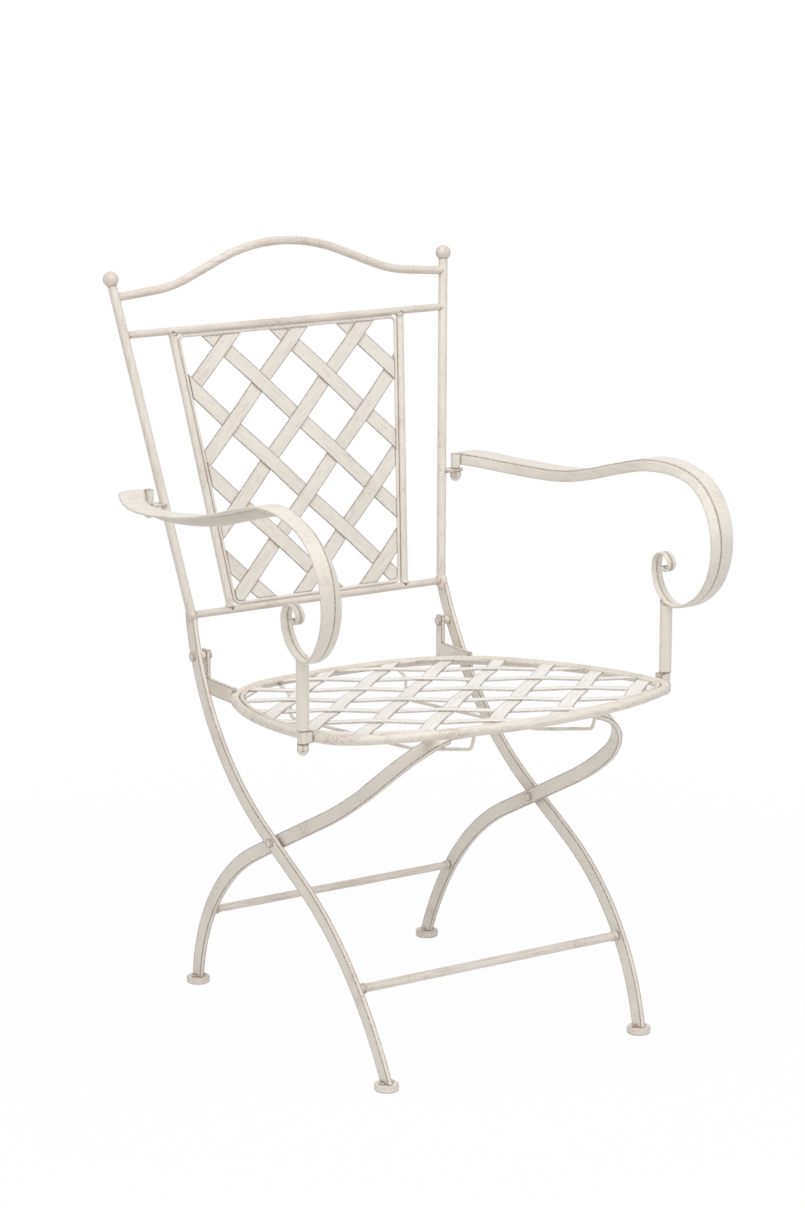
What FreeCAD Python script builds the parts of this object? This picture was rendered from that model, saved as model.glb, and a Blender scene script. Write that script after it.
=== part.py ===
import FreeCAD, Part
import math
import os
import Sketcher
from FreeCAD import Placement, Rotation, Vector

# Folding garden armchair of bent flat bar, round rod and woven flat strip.
# Millimetres, +Z up, the chair faces -Y, right means +X.
# The origin is on the floor under the middle of the chair.

doc = FreeCAD.newDocument("GardenArmchair")
sheet = doc.addObject("Spreadsheet::Sheet", "Sizes")

sizes = [
    # Scissor pivot and the flat bar of both leg pairs
    ("pivot_y", -3.6),
    ("pivot_height", 249.3),
    ("bar_width", 18.0),
    ("bar_thick", 6.0),
    # Front leg, which runs up and back: straight at the pivot, curved above and below
    ("front_lean", 62.1),
    ("front_low_straight", 77.4),
    ("front_low_radius", 362.0),
    ("front_high_straight", 20.6),
    ("front_high_radius", 397.0),
    ("front_half", 199.8),
    ("front_low_bow", 2420.0),
    ("front_high_bow", 3550.0),
    # Rear leg, which runs up and forward and turns in to the slide rod
    ("rear_lean", 63.1),
    ("rear_low_straight", 65.4),
    ("rear_low_radius", 330.0),
    ("rear_high_straight", 108.6),
    ("rear_high_radius", 609.0),
    ("rear_half", 190.2),
    ("rear_low_bow", 2554.0),
    ("rear_high_bow", 520.0),
    ("rear_bend_height", 347.0),
    ("rear_bend_reach", 46.0),
    ("slide_y", -252.0),
    ("slide_height", 425.7),
    ("slide_half", 106.0),
    ("slide_radius", 4.0),
    # Feet and stretchers
    ("foot_radius", 15.0),
    ("foot_height", 8.0),
    ("foot_edge", 1.2),
    ("front_stretcher_height", 111.5),
    ("front_stretcher_radius", 5.5),
    ("rear_stretcher_height", 111.5),
    ("rear_stretcher_radius", 5.0),
    # Rivets, washers and bushes
    ("rivet_radius", 3.5),
    ("rivet_head_radius", 5.5),
    ("rivet_head_height", 3.0),
    ("washer_radius", 8.0),
    ("washer_thick", 3.0),
    ("run_gap", 0.06),
    ("side_gap", 0.3),
    # Back
    ("recline", 11.73),
    ("back_height", 499.0),
    ("joint_drop", 7.0),
    ("post_radius", 6.0),
    ("post_foot_half", 190.7),
    ("post_splay", 7.953),
    ("ball_rise", 430.0),
    ("ball_radius", 10.0),
    ("ball_seat", 8.0),
    ("rail_radius", 4.75),
    ("upper_rail_rise", 358.5),
    ("rail_drop", 3.0),
    ("inner_bar_radius", 5.0),
    ("inner_bar_foot_half", 132.0),
    ("inner_bar_head_half", 172.5),
    ("top_rail_radius", 5.5),
    ("crown_rise", 462.6),
    ("crown_radius", 234.7),
    ("crown_turn", 22.4),
    ("crown_straight", 54.5),
    ("shoulder_radius", 176.6),
    ("shoulder_turn", 17.4),
    ("cope_gap", 0.2),
    ("panel_rod_radius", 2.25),
    ("panel_gap", 0.3),
    ("panel_corner", 8.0),
    # Woven strips
    ("strip_width", 19.5),
    ("strip_thick", 1.6),
    ("weave_lift", 0.95),
    ("back_pitch", 101.0),
    ("back_first", -70.0),
    ("seat_pitch", 100.0),
    ("seat_first", -16.5),
    # Seat
    ("seat_y", -1.5),
    ("seat_height", 417.06),
    ("seat_tilt", 4.69),
    ("ring_radius", 6.0),
    ("ring_rear", 182.9),
    ("ring_rear_arc", 541.0),
    ("ring_rear_turn", 8.4),
    ("ring_corner_arc", 157.0),
    ("ring_corner_turn", 57.3),
    ("ring_side_arc", 570.0),
    ("ring_side_turn", 28.6),
    ("ring_front_corner", 70.0),
    ("ring_front_turn", 56.1),
    ("inner_rod_radius", 2.75),
    ("inner_rod_rise", 2.5),
    ("bracket_inner", 176.5),
    ("bracket_thick", 5.0),
    ("strap_height", 20.0),
    ("tab_width", 12.5),
    ("tab_top", 7.5),
    ("strap_climb", 5.5),
    ("seat_pivot_height", 446.0),
    ("seat_pivot_set", 2.5),
    ("bush_radius", 5.2),
    # Guide wires under the seat
    ("guide_half", 88.0),
    ("guide_radius", 2.1),
    ("guide_front_y", -276.5),
    ("guide_front_height", 414.7),
    ("guide_front_bend", 9.0),
    ("guide_dip_y", -151.5),
    ("guide_dip_height", 386.5),
    ("guide_dip_bend", 420.0),
    ("guide_rear_y", 137.5),
    ("guide_rear_height", 363.0),
    ("guide_rear_bend", 9.0),
    ("guide_hook_height", 393.0),
    # Arms
    ("arm_outer", 297.0),
    ("arm_crease", 264.5),
    ("arm_thick", 3.0),
    ("arm_flange", 14.0),
    ("arm_rear_y", 262.0),
    ("arm_rear_height", 653.5),
    ("arm_rise", 0.9),
    ("arm_rear_straight", 151.2),
    ("arm_up_radius", 553.0),
    ("arm_up_turn", 14.75),
    ("arm_slope", 83.0),
    ("arm_over_radius", 186.2),
    ("arm_over_turn", 34.15),
    ("curl_front_radius", 86.1),
    ("curl_front_turn", 142.8),
    ("curl_under_radius", 50.0),
    ("curl_under_turn", 20.0),
    ("scroll_back_radius", 44.6),
    ("scroll_back_turn", 92.7),
    ("scroll_top_radius", 15.9),
    ("scroll_top_turn", 144.6),
    ("scroll_eye_radius", 9.0),
    ("scroll_eye_turn", 180.0),
    ("crest_outer", 299.0),
    ("crest_crease", 279.0),
    ("crest_flange", 10.5),
    ("crest_fold", 62.0),
    ("curl_outer", 295.0),
    ("curl_crease", 278.0),
    ("curl_flange", 11.5),
    ("curl_fold", 22.0),
    ("curl_low_outer", 291.0),
    ("curl_low_inner", 266.0),
    ("curl_end_outer", 283.0),
    ("curl_end_inner", 263.0),
    ("scroll_outer", 275.0),
    ("scroll_inner", 261.5),
    ("scroll_top_outer", 277.0),
    ("scroll_top_inner", 264.5),
    ("scroll_tip_outer", 274.0),
    ("scroll_tip_inner", 266.0),
    ("arm_corner_radius", 32.0),
    ("arm_corner_y", 207.5),
    ("arm_stub_end", 222.0),
    ("arm_bolt_half", 233.0),
    ("arm_bolt_radius", 3.5),
    ("arm_boss_radius", 5.5),
    ("eye_top", 638.6),
    ("bolt_head_radius", 6.0),
    ("bolt_head_height", 3.0),
    ("eye_width", 20.0),
    ("eye_thick", 2.6),
    ("arm_post_half", 265.5),
    ("arm_post_y", -186.0),
    ("arm_post_radius", 7.75),
    ("sleeve_radius", 6.6),
    ("sleeve_top", 443.0),
    ("sleeve_height", 16.0),
    ("nut_radius", 8.0),
    ("nut_height", 7.5),
]
for row, (name, number) in enumerate(sizes, start=1):
    sheet.set("A%d" % row, name)
    sheet.set("B%d" % row, str(number))
    sheet.setAlias("B%d" % row, name)
doc.recompute()


def val(name):
    return float(sheet.get(name))


nodes = []


def node(obj, label):
    obj.Label = label
    nodes.append(obj)
    return obj


# Axes of the side view (Y right, Z up, X towards the viewer) and of the front view.
side_view = Rotation(Vector(0, 1, 0), Vector(0, 0, 1), Vector(1, 0, 0), "ZXY")
front_view = Rotation(Vector(1, 0, 0), Vector(0, 0, 1), Vector(0, -1, 0), "ZXY")


def chain(start, heading, moves, shift=0.0):
    """Tangent lines and arcs in a plane, moved to the left by shift."""
    angle = math.radians(heading)
    x = start[0] - shift * math.sin(angle)
    y = start[1] + shift * math.cos(angle)
    edges = []
    for move in moves:
        if move[0] == "line":
            nx = x + move[1] * math.cos(angle)
            ny = y + move[1] * math.sin(angle)
            edges.append(Part.LineSegment(Vector(x, y, 0), Vector(nx, ny, 0)).toShape())
        else:
            side = math.copysign(1.0, move[2])
            radius = move[1] - side * shift
            turn = math.radians(move[2])
            cx = x - side * radius * math.sin(angle)
            cy = y + side * radius * math.cos(angle)
            mx = cx + side * radius * math.sin(angle + turn / 2)
            my = cy - side * radius * math.cos(angle + turn / 2)
            nx = cx + side * radius * math.sin(angle + turn)
            ny = cy - side * radius * math.cos(angle + turn)
            arc = Part.Arc(Vector(x, y, 0), Vector(mx, my, 0), Vector(nx, ny, 0))
            edges.append(arc.toShape())
            angle += turn
        x, y = nx, ny
    return edges, Vector(x, y, 0)


def band(start, heading, moves, half):
    """Closed face that follows a chain, half wide to each side."""
    left, left_end = chain(start, heading, moves, half)
    right, right_end = chain(start, heading, moves, -half)
    left_start = left[0].valueAt(left[0].FirstParameter)
    right_start = right[0].valueAt(right[0].FirstParameter)
    edges = left + [Part.LineSegment(left_end, right_end).toShape()]
    edges += right[::-1] + [Part.LineSegment(right_start, left_start).toShape()]
    return Part.Face(Part.Wire(Part.__sortEdges__(edges)))


def rounded(points, radii, closed=False):
    """Straight runs joined by tangent arcs at the inner points."""
    count = len(points)
    edges = []
    last = None
    first = None
    order = range(count) if closed else range(1, count - 1)
    if not closed:
        last = points[0]
    for i in order:
        corner = points[i]
        back = (points[i - 1] - corner).normalize()
        ahead = (points[(i + 1) % count] - corner).normalize()
        half = back.getAngle(ahead) / 2
        reach = radii[i] / math.tan(half)
        centre = corner + (back + ahead).normalize() * (radii[i] / math.sin(half))
        enter = corner + back * reach
        leave = corner + ahead * reach
        middle = centre + (corner - centre).normalize() * radii[i]
        if last is not None:
            edges.append(Part.LineSegment(last, enter).toShape())
        else:
            first = enter
        edges.append(Part.Arc(enter, middle, leave).toShape())
        last = leave
    end = first if closed else points[-1]
    edges.append(Part.LineSegment(last, end).toShape())
    return edges


def outline(name, shape, placement=None):
    obj = doc.addObject("Part::Feature", name)
    obj.Shape = shape
    if placement is not None:
        obj.Placement = placement
    return obj


def extrusion(name, base, direction, length):
    """Length is a number or an expression on the sheet."""
    obj = doc.addObject("Part::Extrusion", name)
    obj.Base = base
    obj.DirMode = "Custom"
    obj.Dir = direction
    obj.Solid = True
    if isinstance(length, str):
        obj.setExpression("LengthFwd", length)
    else:
        obj.LengthFwd = length
    return obj


def aim(start, end):
    return Placement(start, Rotation(Vector(0, 0, 1), end - start))


def rod(name, start, end, radius):
    obj = doc.addObject("Part::Cylinder", name)
    obj.setExpression("Radius", radius)
    obj.Height = (end - start).Length
    obj.Placement = aim(start, end)
    return obj


def sweep(name, edges, radius, placement=Placement()):
    """Round rod of the given radius along a chain of edges."""
    spine = outline(name + "_path", Part.Wire(edges), placement)
    doc.recompute()
    edge = spine.Shape.OrderedEdges[0]
    begin = edge.valueAt(edge.FirstParameter)
    tangent = edge.tangentAt(edge.FirstParameter)
    circle = doc.addObject("Part::Circle", name + "_section")
    circle.setExpression("Radius", radius)
    circle.Placement = Placement(begin, Rotation(Vector(0, 0, 1), tangent))
    obj = doc.addObject("Part::Sweep", name)
    obj.Sections = [circle]
    obj.Spine = (spine, ["Edge%d" % (i + 1) for i in range(len(edges))])
    obj.Solid = True
    obj.Frenet = False
    return obj


def cut(name, base, tools):
    tool = tools[0]
    if len(tools) > 1:
        tool = doc.addObject("Part::MultiFuse", name + "_tools")
        tool.Shapes = tools
    obj = doc.addObject("Part::Cut", name)
    obj.Base = base
    obj.Tool = tool
    return obj


def common(name, base, tool):
    obj = doc.addObject("Part::Common", name)
    obj.Base = base
    obj.Tool = tool
    return obj


def fuse(name, shapes):
    obj = doc.addObject("Part::MultiFuse", name)
    obj.Shapes = shapes
    return obj


def block(name, low, high, placement=Placement()):
    obj = doc.addObject("Part::Box", name)
    obj.Length = high.x - low.x
    obj.Width = high.y - low.y
    obj.Height = high.z - low.z
    obj.Placement = placement.multiply(Placement(low, Rotation()))
    return obj


def mirrored(name, source):
    obj = doc.addObject("Part::Mirroring", name)
    obj.Source = source
    obj.Normal = Vector(1, 0, 0)
    obj.Base = Vector(0, 0, 0)
    return obj


def group(name, shapes):
    obj = doc.addObject("Part::Compound", name)
    obj.Links = shapes
    return obj


def pair(source, label):
    """The right piece and its mirror image as two nodes."""
    node(source, label + "_right")
    node(mirrored(label + "_mirror", source), label + "_left")


# Leg geometry in the side view
pivot = (val("pivot_y"), val("pivot_height"))
half_bar = val("bar_width") / 2
half_thick = val("bar_thick") / 2


def leg_foot(lean, straight, radius, way):
    """Lean from the vertical and y of a leg's centreline at the top of its foot."""
    steep = math.radians(lean)
    run_z = pivot[1] - straight * math.cos(steep)
    sine = math.sin(steep) - (run_z - val("foot_height")) / radius
    foot = math.asin(sine)
    y = pivot[0] + way * (straight * math.sin(steep)
                          + radius * (math.cos(foot) - math.cos(steep)))
    return math.degrees(foot), y


def low_y(height, lean, straight, radius, way):
    """y of a leg's centreline at a height on its lower curve."""
    steep = math.radians(lean)
    run_z = pivot[1] - straight * math.cos(steep)
    here = math.asin(math.sin(steep) - (run_z - height) / radius)
    return pivot[0] + way * (straight * math.sin(steep)
                             + radius * (math.cos(here) - math.cos(steep)))


def high_y(height):
    """y and lean of the front leg's centreline at a height on its upper curve."""
    steep = math.radians(val("front_lean"))
    straight = val("front_high_straight")
    radius = val("front_high_radius")
    run_z = pivot[1] + straight * math.cos(steep)
    here = math.asin(math.sin(steep) - (height - run_z) / radius)
    y = pivot[0] + straight * math.sin(steep) + radius * (math.cos(here) - math.cos(steep))
    return y, math.degrees(here)


def bow(half, radius, height):
    """Distance of a leg's centreline from the middle plane at a height."""
    rise = height - pivot[1]
    return half - (radius - math.sqrt(radius * radius - rise * rise))


def bow_face(half, low, high, top):
    """Front view of a leg: two arcs that are upright at the pivot."""
    below = pivot[1] - val("foot_height") + 10.0
    angle = math.asin(below / low)
    start = (half - low * (1 - math.cos(angle)), pivot[1] - below)
    rise = math.asin((top - pivot[1]) / high)
    moves = [("arc", low, math.degrees(angle)), ("arc", high, math.degrees(rise))]
    return band(start, 90 - math.degrees(angle), moves, half_thick)


deep = 900.0
back_view = Placement(Vector(0, deep / 2, 0), front_view)
floor_block = block("floor_block", Vector(-400, -400, -60), Vector(400, 400, val("foot_height")))

# Back plane
top_y, top_lean = high_y(val("back_height"))
back = Placement(Vector(0, top_y, val("back_height")),
                 Rotation(Vector(1, 0, 0), 90 - val("recline")))
splay = math.radians(val("post_splay"))


def on_back(u, v, w=0.0):
    return back.multVec(Vector(u, v, w))


def post_half(v):
    return val("post_foot_half") + v * math.tan(splay)


# Scissor pivot and seat pivot
seat_pivot_y = high_y(val("seat_pivot_height"))[0] + val("seat_pivot_set")
seat_pivot_x = bow(val("front_half"), val("front_high_bow"), val("seat_pivot_height"))
front_inner = val("front_half") - half_thick
front_outer = val("front_half") + half_thick
rear_inner = val("rear_half") - half_thick
rear_outer = val("rear_half") + half_thick
scissor_hole = rod("scissor_hole", Vector(150, *pivot), Vector(230, *pivot),
                   "Sizes.rivet_radius + Sizes.run_gap")
seat_hole = rod("seat_hole", Vector(150, seat_pivot_y, val("seat_pivot_height")),
                Vector(230, seat_pivot_y, val("seat_pivot_height")),
                "Sizes.rivet_radius + Sizes.run_gap")

# Front legs: flat bar from the front foot up to the back post
foot_lean, front_foot_y = leg_foot(val("front_lean"), val("front_low_straight"),
                                   val("front_low_radius"), -1)
extra = 12.0
start_y = front_foot_y - extra * math.sin(math.radians(foot_lean))
start_z = val("foot_height") - extra * math.cos(math.radians(foot_lean))
moves = [("line", extra),
         ("arc", val("front_low_radius"), -(val("front_lean") - foot_lean)),
         ("line", val("front_low_straight") + val("front_high_straight")),
         ("arc", val("front_high_radius"), val("front_lean") - top_lean),
         ("line", extra)]
face = band((start_y, start_z), 90 - foot_lean, moves, half_bar)
side = outline("front_leg_side", face, Placement(Vector(120, 0, 0), side_view))
face = bow_face(val("front_half"), val("front_low_bow"), val("front_high_bow"),
                val("back_height") + 30)
front = outline("front_leg_front", face, back_view)
leg = common("front_leg_bar", extrusion("front_leg_wide", side, Vector(1, 0, 0), 120.0),
             extrusion("front_leg_deep", front, Vector(0, -1, 0), deep))
head_block = block("head_block", Vector(-400, -val("joint_drop"), -100), Vector(400, 100, 100),
                   back)
leg = cut("front_leg", leg, [floor_block, head_block, scissor_hole, seat_hole])
pair(leg, "front_leg")

# Rear legs: flat bar from the rear foot, turned in at its upper end
rear_foot_lean, rear_foot_y = leg_foot(val("rear_lean"), val("rear_low_straight"),
                                       val("rear_low_radius"), 1)
start_y = rear_foot_y + extra * math.sin(math.radians(rear_foot_lean))
start_z = val("foot_height") - extra * math.cos(math.radians(rear_foot_lean))
steep = math.radians(val("rear_lean"))
bend_z = pivot[1] + val("rear_high_straight") * math.cos(steep)
bend = math.asin(math.sin(steep) - (val("rear_bend_height") - bend_z) / val("rear_high_radius"))
bend_y = (pivot[0] - val("rear_high_straight") * math.sin(steep)
          - val("rear_high_radius") * (math.cos(bend) - math.cos(steep)))
moves = [("line", extra),
         ("arc", val("rear_low_radius"), val("rear_lean") - rear_foot_lean),
         ("line", val("rear_low_straight") + val("rear_high_straight")),
         ("arc", val("rear_high_radius"), math.degrees(bend) - val("rear_lean"))]
face = band((start_y, start_z), 90 + rear_foot_lean, moves, half_bar)
side = outline("rear_leg_side", face, Placement(Vector(120, 0, 0), side_view))
face = bow_face(val("rear_half"), val("rear_low_bow"), val("rear_high_bow"),
                val("rear_bend_height") + 30)
front = outline("rear_leg_front", face, back_view)
leg = common("rear_leg_bar", extrusion("rear_leg_wide", side, Vector(1, 0, 0), 120.0),
             extrusion("rear_leg_deep", front, Vector(0, -1, 0), deep))
leg = cut("rear_leg_cut", leg, [floor_block, scissor_hole])
doc.recompute()

# The turned-in end is a loft from the bar's end face to the slide rod.
along = Vector(0, -math.sin(bend), math.cos(bend))
end_face = max(leg.Shape.Faces, key=lambda f: f.CenterOfMass.dot(along))
bend_x = bow(val("rear_half"), val("rear_high_bow"), val("rear_bend_height"))
bend_point = Vector(bend_x, bend_y, val("rear_bend_height"))
lean_in = -(val("rear_bend_height") - pivot[1]) / val("rear_high_bow") * math.cos(bend)
leave = Vector(lean_in, along.y, along.z).normalize()
slide_end = Vector(val("slide_half"), val("slide_y"), val("slide_height"))
reach = val("rear_bend_reach")
handles = [bend_point, bend_point + leave * reach,
           slide_end + Vector(reach, 0, -0.2 * reach), slide_end]
wide_start = Vector(0, math.cos(bend), math.sin(bend))
wide_end = Vector(0, 0.95, 0.31).normalize()
sections = [end_face.OuterWire]
steps = 5
for i in range(1, steps + 1):
    t = i / steps
    s = 1 - t
    centre = (handles[0] * s**3 + handles[1] * (3 * s * s * t)
              + handles[2] * (3 * s * t * t) + handles[3] * t**3)
    tangent = ((handles[1] - handles[0]) * s * s + (handles[2] - handles[1]) * (2 * s * t)
               + (handles[3] - handles[2]) * t * t).normalize()
    if i == steps:
        tangent = Vector(-1, 0, 0)
    wide = wide_start * s + wide_end * t
    wide = (wide - tangent * wide.dot(tangent)).normalize()
    flat = tangent.cross(wide)
    corners = [centre + wide * (half_bar * a) + flat * (half_thick * b)
               for a, b in ((1, 1), (-1, 1), (-1, -1), (1, -1))]
    sections.append(Part.makePolygon(corners + corners[:1]))
turned = outline("rear_leg_turned", Part.makeLoft(sections, True, False))
leg = fuse("rear_leg", [leg, turned])
pair(leg, "rear_leg")

slide = rod("slide_rod", Vector(-val("slide_half"), val("slide_y"), val("slide_height")),
            slide_end, "Sizes.slide_radius")
node(slide, "slide_rod")

# Feet and stretchers
def foot(name, x, y):
    body = doc.addObject("PartDesign::Body", name)
    sketch = body.newObject("Sketcher::SketchObject", name + "_sketch")
    plane = [f for f in body.Origin.OriginFeatures if f.Role == "XY_Plane"][0]
    sketch.AttachmentSupport = [(plane, "")]
    sketch.MapMode = "FlatFace"
    sketch.addGeometry(Part.Circle(Vector(0, 0, 0), Vector(0, 0, 1), val("foot_radius")))
    sketch.addConstraint(Sketcher.Constraint("Coincident", 0, 3, -1, 1))
    sketch.addConstraint(Sketcher.Constraint("Radius", 0, val("foot_radius")))
    sketch.setExpression("Constraints[1]", "Sizes.foot_radius")
    pad = body.newObject("PartDesign::Pad", name + "_pad")
    pad.Profile = sketch
    pad.setExpression("Length", "Sizes.foot_height")
    doc.recompute()
    edges = ["Edge%d" % (i + 1) for i, e in enumerate(pad.Shape.Edges) if e.Closed]
    fillet = body.newObject("PartDesign::Fillet", name + "_edge")
    fillet.Base = (pad, edges)
    fillet.setExpression("Radius", "Sizes.foot_edge")
    body.Placement = Placement(Vector(x, y, 0), Rotation())
    return body


front_foot_x = bow(val("front_half"), val("front_low_bow"), val("foot_height"))
pair(foot("front_foot", front_foot_x, front_foot_y), "front_foot")
rear_foot_x = bow(val("rear_half"), val("rear_low_bow"), val("foot_height"))
pair(foot("rear_foot", rear_foot_x, rear_foot_y), "rear_foot")

height = val("front_stretcher_height")
reach = bow(val("front_half"), val("front_low_bow"), height) - half_thick
reach -= val("side_gap") + val("front_stretcher_radius") * (pivot[1] - height) / val("front_low_bow")
y = low_y(height, val("front_lean"), val("front_low_straight"), val("front_low_radius"), -1)
node(rod("front_stretcher", Vector(-reach, y, height), Vector(reach, y, height),
         "Sizes.front_stretcher_radius"), "front_stretcher")
height = val("rear_stretcher_height")
reach = bow(val("rear_half"), val("rear_low_bow"), height) - half_thick
reach -= val("side_gap") + val("rear_stretcher_radius") * (pivot[1] - height) / val("rear_low_bow")
y = low_y(height, val("rear_lean"), val("rear_low_straight"), val("rear_low_radius"), 1)
node(rod("rear_stretcher", Vector(-reach, y, height), Vector(reach, y, height),
         "Sizes.rear_stretcher_radius"), "rear_stretcher")

# Rivets, washers and bushes
def rivet(name, inner, outer, y, z):
    """Shank between two heads that sit just off the faces at inner and outer."""
    gap = val("side_gap") / 2
    head = val("rivet_head_height")
    a = Vector(inner - gap, y, z)
    b = Vector(outer + gap, y, z)
    shank = rod(name + "_shank", a, b, "Sizes.rivet_radius")
    first = rod(name + "_inner", a - Vector(head, 0, 0), a, "Sizes.rivet_head_radius")
    second = rod(name + "_outer", b, b + Vector(head, 0, 0), "Sizes.rivet_head_radius")
    return fuse(name, [shank, first, second])


def ring(name, start, end, radius):
    outer = rod(name + "_rim", start, end, radius)
    axis = (end - start).normalize()
    inner = rod(name + "_bore", start - axis, end + axis, "Sizes.rivet_radius + Sizes.run_gap")
    return cut(name, outer, [inner])


right = rivet("scissor_rivet", rear_inner, front_outer, *pivot)
node(group("scissor_rivets", [right, mirrored("scissor_rivet_mirror", right)]), "scissor_rivets")
middle = (rear_outer + front_inner) / 2
half = Vector(val("washer_thick") / 2, 0, 0)
right = ring("scissor_washer", Vector(middle, *pivot) - half, Vector(middle, *pivot) + half,
             "Sizes.washer_radius")
node(group("scissor_washers", [right, mirrored("scissor_washer_mirror", right)]),
     "scissor_washers")

seat_pivot = Vector(0, seat_pivot_y, val("seat_pivot_height"))
tilt = (val("seat_pivot_height") - pivot[1]) / val("front_high_bow")
slack = val("rivet_head_radius") * tilt
right = rivet("seat_rivet", val("bracket_inner"), seat_pivot_x + half_thick + slack,
              seat_pivot.y, seat_pivot.z)
node(group("seat_rivets", [right, mirrored("seat_rivet_mirror", right)]), "seat_rivets")
bush_start = val("bracket_inner") + val("bracket_thick") + val("side_gap")
bush_end = seat_pivot_x - half_thick - val("bush_radius") * tilt - val("side_gap") / 2
right = ring("seat_bush", seat_pivot + Vector(bush_start, 0, 0),
             seat_pivot + Vector(bush_end, 0, 0), "Sizes.bush_radius")
node(group("seat_bushes", [right, mirrored("seat_bush_mirror", right)]), "seat_bushes")

# Back posts and ball finials
ball_v = val("ball_rise")
axis = Vector(math.sin(splay), math.cos(splay), 0)
low_v = -val("joint_drop") - 8
seat_point = Vector(post_half(ball_v), ball_v, 0) - axis * val("ball_seat")
post_start = back.multVec(Vector(post_half(low_v), low_v, 0))
post_end = back.multVec(seat_point)
leg_block = block("leg_block", Vector(-400, -80, -100), Vector(400, -val("joint_drop"), 100), back)
post_bar = rod("post_bar", post_start, post_end, "Sizes.post_radius")
pair(cut("back_post", post_bar, [leg_block]), "back_post")
ball = doc.addObject("Part::Sphere", "finial")
ball.setExpression("Radius", "Sizes.ball_radius")
ball.setExpression("Angle1", "-asin(Sizes.ball_seat / Sizes.ball_radius)")
centre = on_back(post_half(ball_v), ball_v)
ball.Placement = aim(centre, centre + (post_end - post_start))
pair(ball, "finial")

# Rails and inner bars of the back
cope_right = rod("post_cope", post_start, centre, "Sizes.post_radius + Sizes.cope_gap")
cope_left = mirrored("post_cope_mirror", cope_right)


def rail(name, v):
    reach = post_half(v)
    bar = rod(name + "_bar", on_back(-reach, v), on_back(reach, v), "Sizes.rail_radius")
    return cut(name, bar, [cope_right, cope_left])


rise = val("upper_rail_rise")
low_rail = -val("rail_drop")
node(rail("lower_rail", low_rail), "lower_rail")
node(rail("upper_rail", rise), "upper_rail")

foot_half = val("inner_bar_foot_half")
head_half = val("inner_bar_head_half")
copes = []
for name, v in (("lower", low_rail), ("upper", rise)):
    reach = post_half(v)
    copes.append(rod(name + "_rail_cope", on_back(-reach, v), on_back(reach, v),
                     "Sizes.rail_radius + Sizes.cope_gap"))
bar = rod("inner_bar_full", on_back(foot_half, low_rail), on_back(head_half, rise),
          "Sizes.inner_bar_radius")
pair(cut("inner_bar", bar, copes), "inner_bar")

# The curved top rail has a crown, a straight run, a shoulder and a straight end.
crown = val("crown_turn")
end_turn = crown - val("shoulder_turn")
half_moves = [("arc", val("crown_radius"), -crown), ("line", val("crown_straight")),
              ("arc", val("shoulder_radius"), val("shoulder_turn"))]
edges, end = chain((0, val("crown_rise")), 0, half_moves)
fall = math.tan(math.radians(end_turn))
meet_v = (end.y + fall * (end.x - val("post_foot_half"))) / (1 + fall * math.tan(splay))
meet_u = post_half(meet_v)
end_run = (meet_u - end.x) / math.cos(math.radians(end_turn))
moves = [("line", end_run), ("arc", val("shoulder_radius"), val("shoulder_turn")),
         ("line", val("crown_straight")), ("arc", val("crown_radius"), -2 * crown),
         ("line", val("crown_straight")),
         ("arc", val("shoulder_radius"), val("shoulder_turn")), ("line", end_run)]
edges, end = chain((-meet_u, meet_v), end_turn, moves)
bar = sweep("top_rail_bar", edges, "Sizes.top_rail_radius", back)
node(cut("top_rail", bar, [cope_right, cope_left]), "top_rail")

# Thin rod that frames the woven panel of the back
inset = val("inner_bar_radius") + val("panel_rod_radius") + val("panel_gap")
slant = math.atan((head_half - foot_half) / rise)
frame_in = val("rail_radius") + val("panel_rod_radius") + val("panel_gap")
low_v = low_rail + frame_in
high_v = rise - frame_in


def panel_half(v, inward):
    return foot_half + v * math.tan(slant) - inward / math.cos(slant)


def panel_corners(inward, low, high):
    return [Vector(-panel_half(low, inward), low, 0), Vector(panel_half(low, inward), low, 0),
            Vector(panel_half(high, inward), high, 0), Vector(-panel_half(high, inward), high, 0)]


corner = val("panel_corner")
edges = rounded(panel_corners(inset, low_v, high_v), [corner] * 4, closed=True)
node(sweep("panel_frame", edges, "Sizes.panel_rod_radius", back), "panel_frame")


# Woven strips
def strip(name, turn, offset, crossings, lifts, placement):
    """One strip: its bent section in the local XZ plane, extruded across its width."""
    flat = val("strip_width") / 2 + 1.0
    half = val("strip_thick") / 2
    upper = []
    for s, lift in zip(crossings, lifts):
        upper.append(Vector(s - flat, 0, lift + half))
        upper.append(Vector(s + flat, 0, lift + half))
    upper[0].x -= 60.0
    upper[-1].x += 60.0
    lower = [Vector(p.x, 0, p.z - 2 * half) for p in reversed(upper)]
    face = Part.Face(Part.makePolygon(upper + lower + upper[:1]))
    local = Placement(offset, Rotation(Vector(0, 0, 1), turn))
    edge = local.multiply(Placement(Vector(0, -val("strip_width") / 2, 0), Rotation()))
    base = outline(name + "_section", face, placement.multiply(edge))
    direction = placement.Rotation.multVec(local.Rotation.multVec(Vector(0, 1, 0)))
    return extrusion(name + "_full", base, direction, "Sizes.strip_width")


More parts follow.
